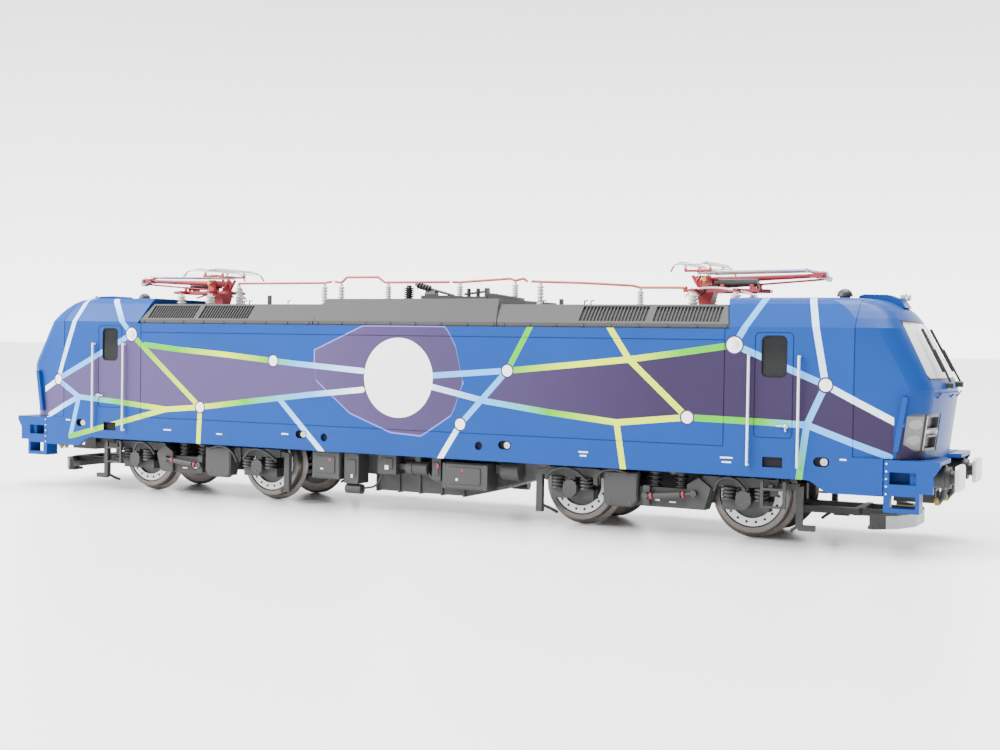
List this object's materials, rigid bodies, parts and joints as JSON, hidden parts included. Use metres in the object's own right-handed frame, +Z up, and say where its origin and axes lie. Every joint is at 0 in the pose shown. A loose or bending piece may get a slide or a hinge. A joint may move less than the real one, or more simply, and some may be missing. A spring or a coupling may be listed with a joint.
{
  "type": "model electric locomotive",
  "caption": "Twin-cab electric locomotive model with swivelling geared bogies, sprung buffers and folding single-arm pantographs.",
  "frame": {"origin": "middle of the floor under the wheel flanges, midway between the buffers", "axes": "+X along the locomotive, +Y across it, +Z up"},
  "size_m": [0.2182, 0.0366, 0.0516],
  "materials": {
    "body_paint": "satin",
    "hatch_grey": "matt",
    "window_glass": "clear, dark tint",
    "lamp_lens": "clear over silver",
    "lamp_bezel": "gloss",
    "rail_white": "satin",
    "rail_blue": "satin",
    "wiper_black": "matt",
    "pantograph_red": "satin",
    "strip_silver": "brushed",
    "busbar_red": "satin",
    "insulator_white": "gloss",
    "equipment_dark": "matt",
    "frame_cast": "blackened",
    "steel": "turned",
    "underframe_grey": "matt",
    "buffer_steel": "satin",
    "sleeve_dark": "satin",
    "hose_black": "matt",
    "motor_steel": "plated",
    "board_green": "satin",
    "cab_beige": "matt",
    "gear_plastic": "natural",
    "worm_brass": "turned"
  },
  "bodies": {
    "chassis": {"body_shell": "body_paint", "nose_rails": "rail_blue", "glazing": "window_glass", "headlight_lenses": "lamp_lens", "headlight_bezels": "lamp_bezel", "door_handrails": "rail_white", "wipers": "wiper_black", "buffer_beams": "body_paint", "brake_hoses": "hose_black", "buffer_sleeves": "sleeve_dark", "roof_hatches_outer": "hatch_grey", "roof_hatch_centre": "hatch_grey", "roof_insulators": "insulator_white", "roof_busbar": "busbar_red", "roof_equipment": "equipment_dark", "pantograph_bases": "pantograph_red", "chassis_frame": "frame_cast", "body_screws": "steel", "motor_can": "motor_steel", "circuit_board": "board_green", "cab_interiors": "cab_beige", "underfloor_tank": "underframe_grey", "equipment_boxes": "underframe_grey"},
    "drive_shaft": {"drive_shaft": "steel"},
    "bogie_front": {"bogie_gearbox_front": "underframe_grey", "bogie_side_frames_front": "underframe_grey", "bogie_springs_front": "sleeve_dark", "bogie_dampers_front": "underframe_grey", "rail_guard_front": "underframe_grey"},
    "worm_front": {"worm_front": "worm_brass"},
    "centre_gear_front": {"centre_gear_front": "gear_plastic"},
    "idler_gear_front_outer": {"idler_gear_front_outer": "gear_plastic"},
    "wheelset_front_outer": {"wheelset_front_outer": "steel"},
    "idler_gear_front_inner": {"idler_gear_front_inner": "gear_plastic"},
    "wheelset_front_inner": {"wheelset_front_inner": "steel"},
    "pantograph_lower_arm_front": {"pantograph_lower_arm_front": "pantograph_red"},
    "pantograph_upper_arm_front": {"pantograph_upper_arm_front": "pantograph_red"},
    "pantograph_head_front": {"pantograph_head_front": "strip_silver"},
    "pantograph_thrust_rod_front": {"pantograph_thrust_rod_front": "pantograph_red"},
    "buffer_head_front_right": {"buffer_head_front_right": "buffer_steel"},
    "buffer_head_front_left": {"buffer_head_front_left": "buffer_steel"},
    "coupler_pocket_front": {"coupler_pocket_front": "underframe_grey"},
    "bogie_rear": {"bogie_gearbox_rear": "underframe_grey", "bogie_side_frames_rear": "underframe_grey", "bogie_springs_rear": "sleeve_dark", "bogie_dampers_rear": "underframe_grey", "rail_guard_rear": "underframe_grey"},
    "worm_rear": {"worm_rear": "worm_brass"},
    "centre_gear_rear": {"centre_gear_rear": "gear_plastic"},
    "idler_gear_rear_outer": {"idler_gear_rear_outer": "gear_plastic"},
    "wheelset_rear_outer": {"wheelset_rear_outer": "steel"},
    "idler_gear_rear_inner": {"idler_gear_rear_inner": "gear_plastic"},
    "wheelset_rear_inner": {"wheelset_rear_inner": "steel"},
    "pantograph_lower_arm_rear": {"pantograph_lower_arm_rear": "pantograph_red"},
    "pantograph_upper_arm_rear": {"pantograph_upper_arm_rear": "pantograph_red"},
    "pantograph_head_rear": {"pantograph_head_rear": "strip_silver"},
    "pantograph_thrust_rod_rear": {"pantograph_thrust_rod_rear": "pantograph_red"},
    "buffer_head_rear_right": {"buffer_head_rear_right": "buffer_steel"},
    "buffer_head_rear_left": {"buffer_head_rear_left": "buffer_steel"},
    "coupler_pocket_rear": {"coupler_pocket_rear": "underframe_grey"}
  },
  "joints": [
    {"name": "motor_spin", "type": "hinge", "parent": "chassis", "child": "drive_shaft", "pos_m": [0, 0, 0.01878], "axis": [1, 0, 0], "continuous": true},
    {"name": "bogie_swivel_front", "type": "hinge", "parent": "chassis", "child": "bogie_front", "pos_m": [0.0546, 0, 0.0245], "axis": [0, 0, 1], "range_deg": [-8, 8]},
    {"name": "worm_spin_front", "type": "hinge", "parent": "bogie_front", "child": "worm_front", "pos_m": [0.0546, 0, 0.01878], "axis": [1, 0, 0], "continuous": true},
    {"name": "centre_gear_spin_front", "type": "hinge", "parent": "bogie_front", "child": "centre_gear_front", "pos_m": [0.0546, 0, 0.0112], "axis": [0, 1, 0], "continuous": true},
    {"name": "idler_spin_front_outer", "type": "hinge", "parent": "bogie_front", "child": "idler_gear_front_outer", "pos_m": [0.06364, 0, 0.01209], "axis": [0, 1, 0], "continuous": true},
    {"name": "axle_spin_front_outer", "type": "hinge", "parent": "bogie_front", "child": "wheelset_front_outer", "pos_m": [0.07184, 0, 0.0082], "axis": [0, 1, 0], "continuous": true},
    {"name": "idler_spin_front_inner", "type": "hinge", "parent": "bogie_front", "child": "idler_gear_front_inner", "pos_m": [0.04556, 0, 0.01209], "axis": [0, 1, 0], "continuous": true},
    {"name": "axle_spin_front_inner", "type": "hinge", "parent": "bogie_front", "child": "wheelset_front_inner", "pos_m": [0.03736, 0, 0.0082], "axis": [0, 1, 0], "continuous": true},
    {"name": "pantograph_raise_front", "type": "hinge", "parent": "chassis", "child": "pantograph_lower_arm_front", "pos_m": [0.06, 0, 0.04835], "axis": [0, -1, 0], "range_deg": [0, 35]},
    {"name": "pantograph_knee_front", "type": "hinge", "parent": "pantograph_lower_arm_front", "child": "pantograph_upper_arm_front", "pos_m": [0.082, 0, 0.0491], "axis": [0, -1, 0], "range_deg": [-69, 0]},
    {"name": "pantograph_head_front", "type": "hinge", "parent": "pantograph_upper_arm_front", "child": "pantograph_head_front", "pos_m": [0.0586, 0, 0.04995], "axis": [0, -1, 0], "range_deg": [0, 34]},
    {"name": "pantograph_rod_front", "type": "hinge", "parent": "chassis", "child": "pantograph_thrust_rod_front", "pos_m": [0.062, 0, 0.0469], "axis": [0, -1, 0], "range_deg": [0, 37]},
    {"name": "buffer_slide_front_right", "type": "slide", "parent": "chassis", "child": "buffer_head_front_right", "axis": [-1, 0, 0], "range_m": [0, 0.0008], "stiffness_N_per_m": 150},
    {"name": "buffer_slide_front_left", "type": "slide", "parent": "chassis", "child": "buffer_head_front_left", "axis": [-1, 0, 0], "range_m": [0, 0.0008], "stiffness_N_per_m": 150},
    {"name": "coupler_swing_front", "type": "hinge", "parent": "chassis", "child": "coupler_pocket_front", "pos_m": [0.092, 0, 0.01], "axis": [0, 0, 1], "range_deg": [-12, 12], "stiffness_Nm_per_rad": 0.002},
    {"name": "bogie_swivel_rear", "type": "hinge", "parent": "chassis", "child": "bogie_rear", "pos_m": [-0.0546, 0, 0.0245], "axis": [0, 0, 1], "range_deg": [-8, 8]},
    {"name": "worm_spin_rear", "type": "hinge", "parent": "bogie_rear", "child": "worm_rear", "pos_m": [-0.0546, 0, 0.01878], "axis": [1, 0, 0], "continuous": true},
    {"name": "centre_gear_spin_rear", "type": "hinge", "parent": "bogie_rear", "child": "centre_gear_rear", "pos_m": [-0.0546, 0, 0.0112], "axis": [0, 1, 0], "continuous": true},
    {"name": "idler_spin_rear_outer", "type": "hinge", "parent": "bogie_rear", "child": "idler_gear_rear_outer", "pos_m": [-0.06364, 0, 0.01209], "axis": [0, 1, 0], "continuous": true},
    {"name": "axle_spin_rear_outer", "type": "hinge", "parent": "bogie_rear", "child": "wheelset_rear_outer", "pos_m": [-0.07184, 0, 0.0082], "axis": [0, 1, 0], "continuous": true},
    {"name": "idler_spin_rear_inner", "type": "hinge", "parent": "bogie_rear", "child": "idler_gear_rear_inner", "pos_m": [-0.04556, 0, 0.01209], "axis": [0, 1, 0], "continuous": true},
    {"name": "axle_spin_rear_inner", "type": "hinge", "parent": "bogie_rear", "child": "wheelset_rear_inner", "pos_m": [-0.03736, 0, 0.0082], "axis": [0, 1, 0], "continuous": true},
    {"name": "pantograph_raise_rear", "type": "hinge", "parent": "chassis", "child": "pantograph_lower_arm_rear", "pos_m": [-0.06, 0, 0.04835], "axis": [0, 1, 0], "range_deg": [0, 35]},
    {"name": "pantograph_knee_rear", "type": "hinge", "parent": "pantograph_lower_arm_rear", "child": "pantograph_upper_arm_rear", "pos_m": [-0.082, 0, 0.0491], "axis": [0, 1, 0], "range_deg": [-69, 0]},
    {"name": "pantograph_head_rear", "type": "hinge", "parent": "pantograph_upper_arm_rear", "child": "pantograph_head_rear", "pos_m": [-0.0586, 0, 0.04995], "axis": [0, 1, 0], "range_deg": [0, 34]},
    {"name": "pantograph_rod_rear", "type": "hinge", "parent": "chassis", "child": "pantograph_thrust_rod_rear", "pos_m": [-0.062, 0, 0.0469], "axis": [0, 1, 0], "range_deg": [0, 37]},
    {"name": "buffer_slide_rear_right", "type": "slide", "parent": "chassis", "child": "buffer_head_rear_right", "axis": [1, 0, 0], "range_m": [0, 0.0008], "stiffness_N_per_m": 150},
    {"name": "buffer_slide_rear_left", "type": "slide", "parent": "chassis", "child": "buffer_head_rear_left", "axis": [1, 0, 0], "range_m": [0, 0.0008], "stiffness_N_per_m": 150},
    {"name": "coupler_swing_rear", "type": "hinge", "parent": "chassis", "child": "coupler_pocket_rear", "pos_m": [-0.092, 0, 0.01], "axis": [0, 0, 1], "range_deg": [-12, 12], "stiffness_Nm_per_rad": 0.002}
  ],
  "couplings": [
    {"joint": "worm_spin_front", "follows": "motor_spin", "ratio": 1},
    {"joint": "centre_gear_spin_front", "follows": "motor_spin", "ratio": -0.055556},
    {"joint": "idler_spin_front_outer", "follows": "motor_spin", "ratio": 0.055556},
    {"joint": "axle_spin_front_outer", "follows": "motor_spin", "ratio": -0.055556},
    {"joint": "idler_spin_front_inner", "follows": "motor_spin", "ratio": 0.055556},
    {"joint": "axle_spin_front_inner", "follows": "motor_spin", "ratio": -0.055556},
    {"joint": "pantograph_knee_front", "follows": "pantograph_raise_front", "ratio": -1.9632},
    {"joint": "pantograph_head_front", "follows": "pantograph_raise_front", "ratio": 0.9632},
    {"joint": "pantograph_rod_front", "follows": "pantograph_raise_front", "ratio": 1.0357},
    {"joint": "worm_spin_rear", "follows": "motor_spin", "ratio": 1},
    {"joint": "centre_gear_spin_rear", "follows": "motor_spin", "ratio": -0.055556},
    {"joint": "idler_spin_rear_outer", "follows": "motor_spin", "ratio": 0.055556},
    {"joint": "axle_spin_rear_outer", "follows": "motor_spin", "ratio": -0.055556},
    {"joint": "idler_spin_rear_inner", "follows": "motor_spin", "ratio": 0.055556},
    {"joint": "axle_spin_rear_inner", "follows": "motor_spin", "ratio": -0.055556},
    {"joint": "pantograph_knee_rear", "follows": "pantograph_raise_rear", "ratio": -1.9632},
    {"joint": "pantograph_head_rear", "follows": "pantograph_raise_rear", "ratio": 0.9632},
    {"joint": "pantograph_rod_rear", "follows": "pantograph_raise_rear", "ratio": 1.0357}
  ]
}
